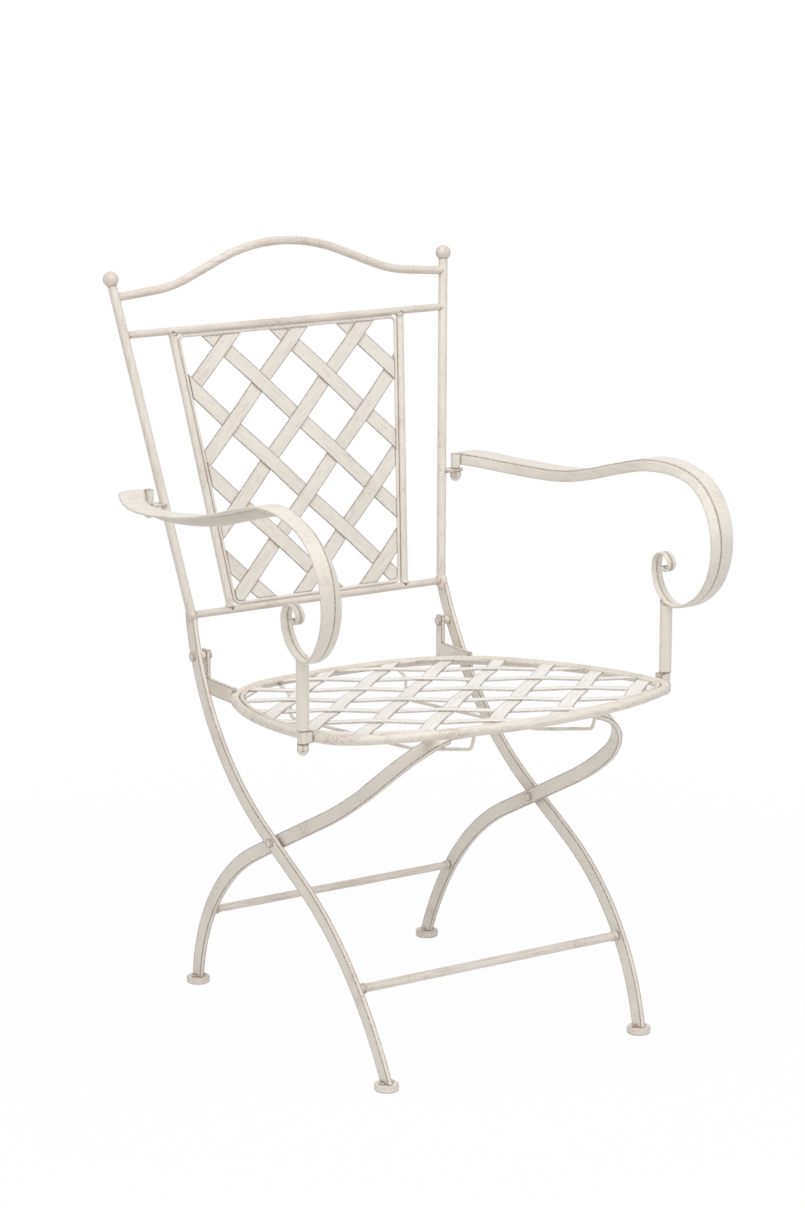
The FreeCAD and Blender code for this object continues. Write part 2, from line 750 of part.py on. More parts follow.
def weave(name, first, pitch, box, placement, clip, odd_over):
    """Two families of diagonal strips that pass over and under each other.

    A falling strip lies on y + x = c and a rising one on y - x = c.
    """
    low_u, high_u, low_v, high_v = box
    falling = range(math.ceil((low_v + low_u - first) / pitch),
                    math.floor((high_v + high_u - first) / pitch) + 1)
    rising = range(math.ceil((low_v - high_u - first) / pitch),
                   math.floor((high_v - low_u - first) / pitch) + 1)
    step = pitch / math.sqrt(2)
    lift = val("weave_lift")
    families = []
    for label, turn, own, other, way in (("falling", -45, falling, rising, 1),
                                         ("rising", 45, rising, falling, -1)):
        pieces = []
        for i in own:
            crossings = []
            lifts = []
            for j in (other if way < 0 else reversed(other)):
                crossings.append((i - j) * step * way)
                over = ((i + j) % 2 == 1) == odd_over
                lifts.append(lift if over == (way > 0) else -lift)
            offset = Vector(0, first + i * pitch, 0)
            tag = "%s_%s_%d" % (name, label, i - own[0] + 1)
            full = strip(tag, turn, offset, crossings, lifts, placement)
            piece = common(tag, full, clip)
            doc.recompute()
            if piece.Shape.Volume > 1.0:
                pieces.append(piece)
        families.append(node(group(name + "_" + label, pieces), name + "_" + label))
    return families


fit = val("cope_gap")
inward = inset + val("panel_rod_radius") + fit
edge_v = low_v + val("panel_rod_radius") + fit
edges = rounded(panel_corners(inward, edge_v, high_v - val("panel_rod_radius") - fit),
                [corner - val("panel_rod_radius") - fit] * 4, closed=True)
clip_face = outline("panel_clip_face", Part.Face(Part.Wire(edges)),
                    back.multiply(Placement(Vector(0, 0, -5), Rotation())))
forward = back.Rotation.multVec(Vector(0, 0, 1))
clip = extrusion("panel_clip", clip_face, forward, 10.0)
wide = panel_half(high_v, inset)
weave("back_strips", val("back_first"), val("back_pitch"), (-wide, wide, low_v, high_v),
      back, clip, True)

# Seat ring and the thin rod inside it
seat = Placement(Vector(0, val("seat_y"), val("seat_height")), Rotation(Vector(1, 0, 0), -val("seat_tilt")))
turns = [("arc", val("ring_rear_arc"), -val("ring_rear_turn")),
         ("arc", val("ring_corner_arc"), -val("ring_corner_turn")),
         ("arc", val("ring_side_arc"), -val("ring_side_turn")),
         ("arc", val("ring_front_corner"), -val("ring_front_turn"))]
last_turn = 180 + sum(move[2] for move in turns)
edges, end = chain((0, val("ring_rear")), 0, turns)
closing = ("arc", end.x / math.sin(math.radians(last_turn)), -last_turn)
loop = turns + [closing, closing] + turns[::-1]


def seat_loop(inward):
    edges, end = chain((0, val("ring_rear")), 0, loop, -inward)
    return edges


def ring_y(x, inward, front):
    """y of the loop at a distance x from the middle plane, in the seat plane."""
    inside = Part.Face(Part.Wire(seat_loop(inward)))
    line = Part.LineSegment(Vector(x, -600, 0), Vector(x, 600, 0)).toShape()
    points = [v.Point.y for v in inside.common(line).Vertexes]
    return min(points) if front else max(points)


node(sweep("seat_ring", seat_loop(0), "Sizes.ring_radius", seat), "seat_ring")
ring_space = sweep("ring_space", seat_loop(0), "Sizes.ring_radius + Sizes.cope_gap", seat)
inner_in = val("ring_radius") + val("inner_rod_radius") + val("cope_gap")
raised = seat.multiply(Placement(Vector(0, 0, val("inner_rod_rise")), Rotation()))
node(sweep("seat_inner_rod", seat_loop(inner_in), "Sizes.inner_rod_radius", raised),
     "seat_inner_rod")
clip_in = inner_in + val("inner_rod_radius") + fit
clip_face = outline("seat_clip_face", Part.Face(Part.Wire(seat_loop(clip_in))),
                    raised.multiply(Placement(Vector(0, 0, -5), Rotation())))
clip = extrusion("seat_clip", clip_face, seat.Rotation.multVec(Vector(0, 0, 1)), 10.0)
bounds = Part.Wire(seat_loop(clip_in)).BoundBox
weave("seat_strips", val("seat_first"), val("seat_pitch"),
      (bounds.XMin, bounds.XMax, bounds.YMin, bounds.YMax), raised, clip, True)

# Seat brackets: a strap from the ring and a tab up to the seat pivot
strap = val("strap_height") / 2
ring_side_y = ring_y(val("bracket_inner"), 0, False)
tab_back = seat_pivot_y + val("tab_width") / 2
tab_front = seat_pivot_y - val("tab_width") / 2


def on_seat(y, z):
    point = seat.multVec(Vector(0, y, z))
    return Vector(point.y, point.z, 0)


low_front = on_seat(ring_side_y, -strap)
high_front = on_seat(ring_side_y, strap)
level = math.tan(math.radians(val("seat_tilt")))
climb = val("strap_climb") / (tab_front - low_front.x) - level
tab_top = val("seat_pivot_height") + val("tab_top")
points = [low_front,
          Vector(tab_back, low_front.y + climb * (tab_back - low_front.x), 0),
          Vector(tab_back, tab_top, 0), Vector(tab_front, tab_top, 0),
          Vector(tab_front, high_front.y + climb * (tab_front - high_front.x), 0), high_front]
face = outline("bracket_side", Part.Face(Part.makePolygon(points + points[:1])),
               Placement(Vector(val("bracket_inner"), 0, 0), side_view))
plate = extrusion("bracket_plate", face, Vector(1, 0, 0), "Sizes.bracket_thick")
pair(cut("seat_bracket", plate, [ring_space, seat_hole]), "seat_bracket")

# Guide wires that carry the slide rod
wire_x = val("guide_half")
under = val("inner_rod_rise") - val("inner_rod_radius") - val("cope_gap")
front_hang = on_seat(ring_y(wire_x, inner_in, True), under)
rear_hang = on_seat(ring_y(wire_x, inner_in, False), under - val("guide_radius"))
points = [front_hang,
          Vector(val("guide_front_y"), val("guide_front_height"), 0),
          Vector(val("guide_dip_y"), val("guide_dip_height"), 0),
          Vector(val("guide_rear_y"), val("guide_rear_height"), 0),
          Vector(val("guide_rear_y"), val("guide_hook_height"), 0), rear_hang]
bends = [0, val("guide_front_bend"), val("guide_dip_bend"), val("guide_rear_bend"),
         val("guide_rear_bend"), 0]
edges = rounded(points, bends)
wire = sweep("guide_wire", edges, "Sizes.guide_radius",
             Placement(Vector(wire_x, 0, 0), side_view))
pair(wire, "guide_wire")

# Arms: folded sheet with an inner flange that opens out flat in the curl
moves = [("line", val("arm_rear_straight")), ("arc", val("arm_up_radius"), -val("arm_up_turn")),
         ("line", val("arm_slope")), ("arc", val("arm_over_radius"), val("arm_over_turn")),
         ("arc", val("curl_front_radius"), val("curl_front_turn")),
         ("arc", val("curl_under_radius"), val("curl_under_turn")),
         ("arc", val("scroll_back_radius"), val("scroll_back_turn")),
         ("arc", val("scroll_top_radius"), val("scroll_top_turn")),
         ("arc", val("scroll_eye_radius"), val("scroll_eye_turn"))]
arm_start = (val("arm_rear_y"), val("arm_rear_height"))
arm_edges, arm_end = chain(arm_start, 180 - val("arm_rise"), moves)
half_sheet = val("arm_thick") / 2
corner_y = val("arm_corner_y")
turn_radius = val("arm_corner_radius")

# Each knot: run (edge number plus share of it), outer edge, crease, flange and fold angle
shape_knots = [
    (0.0, val("arm_outer"), val("arm_crease"), val("arm_flange"), 90.0),
    (3.0, val("arm_outer"), val("arm_crease"), val("arm_flange"), 90.0),
    (4.0, val("crest_outer"), val("crest_crease"), val("crest_flange"), val("crest_fold")),
    (4.5, val("curl_outer"), val("curl_crease"), val("curl_flange"), val("curl_fold"))]
for run, name, fold in ((4.8, "curl_low", 8.0), (5.0, "curl_end", 0.0), (6.0, "scroll", 0.0),
                        (7.0, "scroll_top", 0.0), (9.0, "scroll_tip", 0.0)):
    outer, inner = val(name + "_outer"), val(name + "_inner")
    crease = inner + 0.4 * (outer - inner)
    shape_knots.append((run, outer, crease, crease - inner, fold))


def arm_section(run):
    """Folded section across the arm: run counts the edges of the side line passed."""
    index = min(int(run), len(arm_edges) - 1)
    edge = arm_edges[index]
    place = edge.FirstParameter + (run - index) * (edge.LastParameter - edge.FirstParameter)
    point = edge.valueAt(place)
    along = edge.tangentAt(place)
    up = Vector(along.y, -along.x, 0)
    knot = max(k for k in range(len(shape_knots) - 1) if shape_knots[k][0] <= run + 1e-9)
    low, high = shape_knots[knot], shape_knots[knot + 1]
    share = (run - low[0]) / (high[0] - low[0])
    share = share * share * (3 - 2 * share)
    outer, crease, flange, fold = [a + (b - a) * share for a, b in zip(low[1:], high[1:])]
    fold = math.radians(fold)
    top, thick = half_sheet, 2 * half_sheet
    end_x, end_h = crease - flange * math.cos(fold), top - flange * math.sin(fold)
    corners = [(outer, top), (crease, top), (end_x, end_h),
               (end_x + thick * math.sin(fold), end_h - thick * math.cos(fold)),
               (crease + thick * math.tan(fold / 2), -top), (outer, -top)]
    if run == start_run:
        up = Vector(0, 1, 0)
    points = [Vector(x, point.x + up.x * h, point.y + up.y * h) for x, h in corners]
    return Part.makePolygon(points + points[:1])


start_run = (val("arm_rear_y") - corner_y) / val("arm_rear_straight")
runs = [start_run]
for index, edge in enumerate(arm_edges):
    step = [60, 18, 40, 12, 9, 7, 7, 4, 2.5][index]
    count = max(2, round(edge.Length / step))
    runs += [index + k / count for k in range(1, count + 1) if index + k / count > start_run + 0.02]
sections = []
for number, run in enumerate(runs):
    sections.append(outline("arm_section_%d" % (number + 1), arm_section(run)))
arm_front = doc.addObject("Part::Loft", "arm_front")
arm_front.Sections = sections
arm_front.Solid = True
arm_front.Ruled = True

# Rear corner and stub: the same folded section turned inwards in plan
rise = math.tan(math.radians(val("arm_rise")))


def corner_part(name, offset, half, low, high):
    """Corner and stub of a band of the plan between two heights off the sheet's middle."""
    middle = (val("arm_outer") + val("arm_crease")) / 2
    radius = turn_radius + offset
    run = middle + offset - radius - val("arm_stub_end")
    turns = [("line", 0.5), ("arc", radius, 90), ("line", run)]
    flat = band((middle + offset, corner_y - 0.5), 90, turns, half)
    plan = outline(name + "_plan", flat, Placement(Vector(0, 0, val("arm_rear_height") - 60), Rotation()))
    tall = extrusion(name + "_tall", plan, Vector(0, 0, 1), 120.0)
    level = val("arm_rear_height") + (val("arm_rear_y") - corner_y) * rise
    corners = [Vector(200, corner_y, level + low), Vector(200, corner_y + 70, level + low - 70 * rise),
               Vector(200, corner_y + 70, level + high - 70 * rise), Vector(200, corner_y, level + high)]
    side = outline(name + "_side", Part.Face(Part.makePolygon(corners + corners[:1])))
    wide = extrusion(name + "_wide", side, Vector(1, 0, 0), 120.0)
    return common(name, wide, tall)


half_top = (val("arm_outer") - val("arm_crease")) / 2
corner_top = corner_part("corner_top", 0.0, half_top, -half_sheet, half_sheet)
corner_flange = corner_part("corner_flange", half_sheet - half_top, half_sheet,
                            half_sheet - val("arm_flange"), half_sheet)
bolt_x = val("arm_bolt_half")
bolt_y = corner_y + turn_radius
stub_z = val("arm_rear_height") + (val("arm_rear_y") - bolt_y) * rise
stub_top = stub_z + half_sheet
boss = rod("arm_boss", Vector(bolt_x, bolt_y, val("eye_top") + val("side_gap")),
           Vector(bolt_x, bolt_y, stub_z), "Sizes.arm_boss_radius")
bolt_hole = rod("bolt_hole", Vector(bolt_x, bolt_y, stub_z - 60), Vector(bolt_x, bolt_y, stub_z + 40),
                "Sizes.arm_bolt_radius + Sizes.run_gap")
arm_whole = fuse("arm_whole", [arm_front, corner_top, corner_flange, boss])
pair(cut("arm", arm_whole, [bolt_hole]), "arm")

# Eye plate on the post, under the arm's rear end
eye_low = val("eye_top") - val("eye_thick")
eye_v = (eye_low - val("back_height")) / math.cos(math.radians(val("recline")))
eye_axis = on_back(post_half(eye_v), eye_v)
half_eye = val("eye_width") / 2
moves = [("line", bolt_x - eye_axis.x - 2), ("arc", half_eye, 180),
         ("line", bolt_x - eye_axis.x - 2)]
edges, end = chain((eye_axis.x + 2, bolt_y - half_eye), 0, moves)
edges.append(Part.LineSegment(end, Vector(eye_axis.x + 2, bolt_y - half_eye, 0)).toShape())
face = outline("eye_plan", Part.Face(Part.Wire(edges)), Placement(Vector(0, 0, eye_low), Rotation()))
plate = extrusion("eye_plate", face, Vector(0, 0, 1), "Sizes.eye_thick")
pair(cut("arm_eye", plate, [cope_right, bolt_hole]), "arm_eye")


def cap_nut(name, x, y, top):
    """Hexagon with a dome below, bored blind for the bolt."""
    hexagon = doc.addObject("Part::Prism", name + "_hexagon")
    hexagon.Polygon = 6
    hexagon.setExpression("Circumradius", "Sizes.nut_radius")
    hexagon.setExpression("Height", "Sizes.nut_height")
    hexagon.Placement = Placement(Vector(x, y, top - val("nut_height")), Rotation())
    dome = doc.addObject("Part::Sphere", name + "_dome")
    dome.setExpression("Radius", "Sizes.nut_radius * 0.86")
    dome.Angle2 = 0
    dome.Placement = Placement(Vector(x, y, top - val("nut_height")), Rotation())
    bore = rod(name + "_bore", Vector(x, y, top - val("nut_height")), Vector(x, y, top + 1),
               "Sizes.arm_bolt_radius + Sizes.run_gap")
    return cut(name, fuse(name + "_solid", [hexagon, dome]), [bore])


gap = val("side_gap") / 2
rear_nut = cap_nut("rear_nut", bolt_x, bolt_y, eye_low - gap)
bolt_end = eye_low - gap - val("nut_height") + 0.5
shank = rod("bolt_shank", Vector(bolt_x, bolt_y, bolt_end), Vector(bolt_x, bolt_y, stub_top + gap),
            "Sizes.arm_bolt_radius")
rise_head = val("bolt_head_height")
cap_radius = (val("bolt_head_radius") ** 2 + rise_head ** 2) / (2 * rise_head)
head = doc.addObject("Part::Sphere", "bolt_head")
head.Radius = cap_radius
head.Angle1 = math.degrees(math.asin((cap_radius - rise_head) / cap_radius))
head.Placement = Placement(Vector(bolt_x, bolt_y, stub_top + gap - cap_radius + rise_head), Rotation())
bolt = fuse("arm_bolt", [shank, head])
node(group("arm_bolts", [bolt, mirrored("arm_bolt_mirror", bolt)]), "arm_bolts")

# Arm post under the curl, its lug on the ring's side and its cap nut
doc.recompute()
post_x = val("arm_post_half")
post_y = val("arm_post_y")
under = arm_edges[5].valueAt(arm_edges[5].LastParameter)
inward = arm_edges[5].tangentAt(arm_edges[5].LastParameter)
hub = under + Vector(-inward.y, inward.x, 0) * val("scroll_back_radius")
sleeve_top = val("sleeve_top")
sleeve_low = sleeve_top - val("sleeve_height")
bar = rod("arm_post_bar", Vector(post_x, post_y, sleeve_top + gap),
          Vector(post_x, post_y, hub.y), "Sizes.arm_post_radius")
drum = rod("curl_drum", Vector(200, hub.x, hub.y), Vector(320, hub.x, hub.y),
           "Sizes.scroll_back_radius + Sizes.arm_thick / 2")
nut_top = sleeve_low - gap
pin = rod("arm_post_pin", Vector(post_x, post_y, nut_top - val("nut_height") + 0.5),
          Vector(post_x, post_y, sleeve_top + gap), "Sizes.arm_bolt_radius")
pair(cut("arm_post", fuse("arm_post_full", [bar, pin]), [drum]), "arm_post")

lug_y = (post_y - val("seat_y")) / math.cos(math.radians(val("seat_tilt")))
reach = max(v.Point.x for y in (lug_y - 7, lug_y, lug_y + 7)
            for v in Part.Face(Part.Wire(seat_loop(-val("ring_radius")))).common(
                Part.LineSegment(Vector(0, y, 0), Vector(400, y, 0)).toShape()).Vertexes)
collar = rod("sleeve_collar", Vector(post_x, post_y, sleeve_low), Vector(post_x, post_y, sleeve_top),
             "Sizes.sleeve_radius")
lug = block("sleeve_lug", Vector(reach + val("side_gap"), post_y - 6, sleeve_low + 1),
            Vector(post_x, post_y + 6, sleeve_top - 1))
sleeve_hole = rod("sleeve_hole", Vector(post_x, post_y, sleeve_low - 1),
                  Vector(post_x, post_y, sleeve_top + 1), "Sizes.arm_bolt_radius + Sizes.run_gap")
near_ring = block("near_ring", Vector(200, post_y - 30, sleeve_low - 5),
                  Vector(reach + val("side_gap"), post_y + 30, sleeve_top + 5))
sleeve = cut("arm_sleeve", fuse("sleeve_solid", [collar, lug]), [sleeve_hole, near_ring])
pair(sleeve, "arm_sleeve")
front_nut = cap_nut("front_nut", post_x, post_y, nut_top)
node(group("cap_nuts", [rear_nut, mirrored("rear_nut_mirror", rear_nut), front_nut,
                        mirrored("front_nut_mirror", front_nut)]), "cap_nuts")

# Check and write
doc.recompute()
for obj in doc.Objects:
    if "Invalid" in obj.State or "Error" in obj.State:
        raise RuntimeError("%s could not be built" % obj.Label)
os.makedirs("parts", exist_ok=True)
whole = FreeCAD.BoundBox()
for obj in nodes:
    shape = obj.Shape
    if shape.isNull() or not shape.isValid() or not shape.Solids:
        raise RuntimeError("%s has no valid solid" % obj.Label)
    whole.add(shape.BoundBox)
    shape.exportStep("parts/%s.step" % obj.Label)
print("pieces", len(nodes), "size", round(whole.XLength, 1), round(whole.YLength, 1),
      round(whole.ZLength, 1), "y", round(whole.YMin, 1), round(whole.YMax, 1))
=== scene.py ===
import math
import bmesh
import bpy
import numpy as np
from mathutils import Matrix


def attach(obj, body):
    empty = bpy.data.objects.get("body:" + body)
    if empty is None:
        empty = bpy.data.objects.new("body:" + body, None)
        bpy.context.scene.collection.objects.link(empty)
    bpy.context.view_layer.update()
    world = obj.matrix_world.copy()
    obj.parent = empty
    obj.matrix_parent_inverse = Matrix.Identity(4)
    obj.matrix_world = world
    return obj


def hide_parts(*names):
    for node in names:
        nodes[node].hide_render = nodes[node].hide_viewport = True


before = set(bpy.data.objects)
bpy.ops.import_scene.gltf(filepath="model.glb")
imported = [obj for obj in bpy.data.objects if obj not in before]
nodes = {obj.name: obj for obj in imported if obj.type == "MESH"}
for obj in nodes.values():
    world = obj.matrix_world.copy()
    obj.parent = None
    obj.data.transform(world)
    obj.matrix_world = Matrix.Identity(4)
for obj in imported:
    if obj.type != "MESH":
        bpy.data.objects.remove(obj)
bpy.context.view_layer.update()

# Camera: a long lens in front of the chair, to one side, a little above the seat.
camera_data = bpy.data.cameras.new("camera")
camera_data.lens = 105.65
camera_data.sensor_width = 36.0
camera = bpy.data.objects.new("camera", camera_data)
camera.location = (-2.3523, -3.6295, 1.5064)
camera.rotation_euler = (math.radians(77.243), 0.0, math.radians(-32.881))
bpy.context.scene.collection.objects.link(camera)
bpy.context.scene.camera = camera
bpy.context.scene.view_settings.view_transform = "Standard"

# Back posts, inner bars, panel rod and ball finials: round steel bar, welded at its ends, with a
# turned ball on each post. All of it is brushed by hand with antique cream enamel over a brown
# primer. The CAD nodes keep their shape and get only their paint here.


def linear(hex_code):
    """Linear colour of an sRGB hex value: each channel goes through the sRGB curve."""
    parts = [int(hex_code[i:i + 2], 16) / 255.0 for i in (0, 2, 4)]
    return tuple(c / 12.92 if c <= 0.04045 else ((c + 0.055) / 1.055) ** 2.4
                 for c in parts) + (1.0,)


def add(tree, kind, inputs=None, **settings):
    """Add a node, set its settings, and fill its inputs with values or links."""
    node = tree.nodes.new(kind)
    for name, value in settings.items():
        setattr(node, name, value)
    for name, value in (inputs or {}).items():
        if isinstance(value, bpy.types.NodeSocket):
            tree.links.new(value, node.inputs[name])
        else:
            node.inputs[name].default_value = value
    return node


# Sizes in metres
streak_long = 0.030      # a brush streak is about 30 mm long
streak_wide = 0.0016     # and under 2 mm wide
cloud_size = 0.045       # uneven coats show as patches of about 45 mm
grit_size = 0.0014       # rubbed specks, drawn a little coarse so that they show
edge_round = 0.0012      # arrises are softened by the coats
edge_width = 0.0030      # reach of the brown line beside an arris: rubbed coat and painted edge shade
seam_and_shade_reach = 0.007       # how far primer and painted shade reach out of a corner between two pieces
brush_depth = 0.00012    # height of the brush marks

wash = "C2AFA4"          # thinned primer that lies in the brush marks
edge_primer_and_shade = "7B6154"   # primer on a rubbed arris or crease, and painted shade along edges and the crease
seam_primer_and_shade = "94806F"   # primer in the corners beside other pieces, and painted shade there
thin_coat = "B39A8F"     # primer that shines through where the cream is thin


def brushed_enamel(name, turn, wear, cream="EFEBE3", shade="E3DED4", crease=False, brush=1.0,
                   seams_and_shade=0.75):
    """Satin cream enamel over brown primer. turn is the rotation that brings the brush
    strokes' direction to X, and wear says how much primer shows, from 0 to 1. With crease, the
    piece's UV map gives the distance from its crease, in mm, and a brown line runs there: partly
    the coat rubbed off, partly painted shade. brush is how strongly the strokes show: less on
    bent bars, where they follow no one direction.
    The last argument says how much primer, and painted shade, lie in the corners beside other
    pieces."""
    paint = bpy.data.materials.new(name)
    paint.use_nodes = True
    tree = paint.node_tree
    shader = tree.nodes["Principled BSDF"]
    place = add(tree, "ShaderNodeTexCoord").outputs["Object"]
    stretched = add(tree, "ShaderNodeMapping", {"Vector": place, "Rotation": turn},
                    vector_type="POINT")
    strokes = add(tree, "ShaderNodeMapping", {
        "Vector": stretched.outputs[0],
        "Scale": (1 / streak_long, 1 / streak_wide, 1 / streak_wide)}, vector_type="POINT")
    streak = add(tree, "ShaderNodeTexNoise", {
        "Vector": strokes.outputs[0], "Scale": 0.5, "Detail": 3.0, "Roughness": 0.62})
    cloud = add(tree, "ShaderNodeTexNoise", {
        "Vector": place, "Scale": 1 / cloud_size, "Detail": 2.0})
    grit = add(tree, "ShaderNodeTexNoise", {
        "Vector": place, "Scale": 0.5 / grit_size, "Detail": 2.0, "Roughness": 0.6})
    coat = add(tree, "ShaderNodeMix", {
        0: cloud.outputs["Fac"], 6: linear(cream), 7: linear(shade)}, data_type="RGBA")
    # The wash lies in the brush marks
    marks = add(tree, "ShaderNodeMapRange", {
        "Value": streak.outputs["Fac"], "From Min": 0.50, "From Max": 0.74,
        "To Max": (0.30 + 0.5 * wear) * brush})
    washed = add(tree, "ShaderNodeMix", {
        0: marks.outputs[0], 6: coat.outputs[2], 7: linear(wash)}, data_type="RGBA")
    # Rubbed arrises, and painted shade along edges and over the narrow sides of thin strips:
    # where the rounded normal leaves the flat one
    soft = add(tree, "ShaderNodeBevel", {"Radius": edge_round}, samples=4)
    wide = add(tree, "ShaderNodeBevel", {"Radius": edge_width}, samples=8)
    flat = add(tree, "ShaderNodeNewGeometry")
    along = add(tree, "ShaderNodeVectorMath", {0: wide.outputs[0], 1: flat.outputs["Normal"]},
                operation="DOT_PRODUCT")
    arris = add(tree, "ShaderNodeMapRange", {
        "Value": along.outputs["Value"], "From Min": 0.985, "From Max": 0.94, "To Max": 1.0})
    broken = add(tree, "ShaderNodeMapRange", {
        "Value": grit.outputs["Fac"], "From Min": 0.34, "From Max": 0.60,
        "To Min": 0.45, "To Max": 1.0})
    rubbed_edge_and_shade = add(tree, "ShaderNodeMath", {0: arris.outputs[0], 1: broken.outputs[0]},
                 operation="MULTIPLY")
    rubbed_edge_and_shade = add(tree, "ShaderNodeMath", {0: rubbed_edge_and_shade.outputs[0], 1: 0.80 + 0.20 * wear},
                 operation="MULTIPLY")
    # The crease line: partly coat rubbed off the fold, partly painted shade where the fold turns
    # down
    if crease:
        across = add(tree, "ShaderNodeSeparateXYZ", {
            0: add(tree, "ShaderNodeUVMap").outputs[0]})
        offset = add(tree, "ShaderNodeMath", {0: across.outputs[0]}, operation="ABSOLUTE")
        line = add(tree, "ShaderNodeMapRange", {
            "Value": offset.outputs[0], "From Min": 1.1, "From Max": 0.3, "To Max": 0.85})
        line = add(tree, "ShaderNodeMath", {0: line.outputs[0], 1: broken.outputs[0]},
                   operation="MULTIPLY")
        rubbed_edge_and_shade = add(tree, "ShaderNodeMath", {0: rubbed_edge_and_shade.outputs[0], 1: line.outputs[0]},
                     operation="MAXIMUM")
    edged = add(tree, "ShaderNodeMix", {
        0: rubbed_edge_and_shade.outputs[0], 6: washed.outputs[2], 7: linear(edge_primer_and_shade)}, data_type="RGBA")
    # Primer in the seams beside other pieces, and painted shade: darker where ambient occlusion
    # finds other surfaces close by
    near = add(tree, "ShaderNodeAmbientOcclusion", {"Distance": seam_and_shade_reach}, samples=6)
    seam_and_shade = add(tree, "ShaderNodeMapRange", {
        "Value": near.outputs["AO"], "From Min": 0.72, "From Max": 0.25, "To Max": seams_and_shade})
    seam_and_shade = add(tree, "ShaderNodeMath", {0: seam_and_shade.outputs[0], 1: broken.outputs[0]},
               operation="MULTIPLY")
    seamed_and_shaded = add(tree, "ShaderNodeMix", {
        0: seam_and_shade.outputs[0], 6: edged.outputs[2], 7: linear(seam_primer_and_shade)}, data_type="RGBA")
    # Specks where the coat is thin
    thin = add(tree, "ShaderNodeMath", {0: cloud.outputs["Fac"], 1: grit.outputs["Fac"]},
               operation="MULTIPLY")
    specks = add(tree, "ShaderNodeMapRange", {
        "Value": thin.outputs[0], "From Min": 0.36 - 0.07 * wear,
        "From Max": 0.46 - 0.07 * wear, "To Max": 0.20 + 0.30 * wear})
    speckled = add(tree, "ShaderNodeMix", {
        0: specks.outputs[0], 6: seamed_and_shaded.outputs[2], 7: linear(thin_coat)}, data_type="RGBA")
    tree.links.new(speckled.outputs[2], shader.inputs["Base Color"])
    # Satin, and rougher where the wash lies
    rough = add(tree, "ShaderNodeMapRange", {
        "Value": streak.outputs["Fac"], "To Min": 0.30, "To Max": 0.52})
    tree.links.new(rough.outputs[0], shader.inputs["Roughness"])
    height = add(tree, "ShaderNodeMath", {0: streak.outputs["Fac"], 1: grit.outputs["Fac"]},
                 operation="ADD")
    bump = add(tree, "ShaderNodeBump", {
        "Height": height.outputs[0], "Distance": brush_depth, "Strength": 0.6,
        "Normal": soft.outputs[0]})
    tree.links.new(bump.outputs[0], shader.inputs["Normal"])
    shader.inputs["IOR"].default_value = 1.5
    return paint


def paint_nodes(paint, *names):
    """Give the CAD nodes of these names this paint."""
    for name in names:
        nodes[name].data.materials.clear()
        nodes[name].data.materials.append(paint)


def both(*stems):
    """Names of the right and left piece of each pair."""
    return [stem + side for stem in stems for side in ("_right", "_left")]


# Rotations that bring to X the strokes of a brush drawn upwards, across or forwards
upright = (0.0, math.radians(90), 0.0)
level = (0.0, 0.0, 0.0)
ahead = (0.0, 0.0, math.radians(90))
# Enamel brushed along round bar: long upright streaks and few rubbed spots
post_paint = brushed_enamel("cream_enamel_on_upright_bar", upright, 0.45, "E9E3DA", "DDD5CA")
paint_nodes(post_paint, *both("back_post", "inner_bar"), "panel_frame")
# Enamel on a turned ball, rubbed most of all, so it is the brownest
ball_paint = brushed_enamel("worn_enamel_on_turned_ball", upright, 1.0, "E6DED6", "D5C9BF")
paint_nodes(ball_paint, *both("finial"))

# Rails of the back: round bar across the posts, the top one bent in a bow, welded at both ends.
# The same enamel, brushed across and rubbed thinner, gives level brown streaks.
rail_paint = brushed_enamel("cream_enamel_on_level_bar", level, 0.85, "E2DAD1", "D3C9BE")
paint_nodes(rail_paint, "top_rail", "upper_rail", "lower_rail")

# Stretchers between the feet, and the rod that slides under the seat: round bar, welded to the
# legs. Their enamel is as worn as the rails', but lighter.
stretcher_paint = brushed_enamel("cream_enamel_on_stretcher_bar", level, 0.8, "EBE4DB", "DDD5CA")
paint_nodes(stretcher_paint, "front_stretcher", "rear_stretcher", "slide_rod")

# Woven strips of the back and the seat: thin steel strip in two slanting families, each passing
# over and under the other. The brush followed each strip, so the streaks slant with it. These
# are the cleanest pieces. The seat's cream is painted paler, standing in for the light on their
# upward faces.
for way, slant in (("rising", 45), ("falling", -45)):
    strip_paint = brushed_enamel("cream_enamel_on_" + way + "_strip",
                                 (0.0, math.radians(slant), 0.0), 0.25, "E9E4DC", "DED7CE")
    paint_nodes(strip_paint, "back_strips_" + way)
# Painted light: the seat strips' paler cream stands in for the light on their upward faces
for way, slant in (("rising", -45), ("falling", 45)):
    strip_paint = brushed_enamel("cream_enamel_on_seat_strip_" + way,
                                 (0.0, 0.0, math.radians(slant)), 0.25, "F6F3EE", "ECE7E0")
    paint_nodes(strip_paint, "seat_strips_" + way)

# Arms: a strip of 3 mm sheet each, its inner edge folded down as a flange that opens flat along
# the scroll. It bows outwards in plan, and at the rear the flange is rolled round a pin that
# stands on the back post's eye plate. Sizes in mm.
sheet = 3.0
fold_radius = 3.0        # middle of the sheet, at the crease
least_bend = 1.6         # length of the bend across, where the flange is nearly flat
# Side line of the middle of the sheet: length, or radius and turn in degrees. It starts at the
# rear, runs forward, and a turn below 0 lifts it
arm_start = (262.0, 653.5)
arm_heading = 179.1
arm_step = 3.0
arm_moves = ((151.2,), (553.0, -14.75), (83.0,), (186.2, 34.15), (86.1, 142.8), (50.0, 20.0),
             (44.6, 92.7), (15.9, 144.6), (9.0, 180.0))
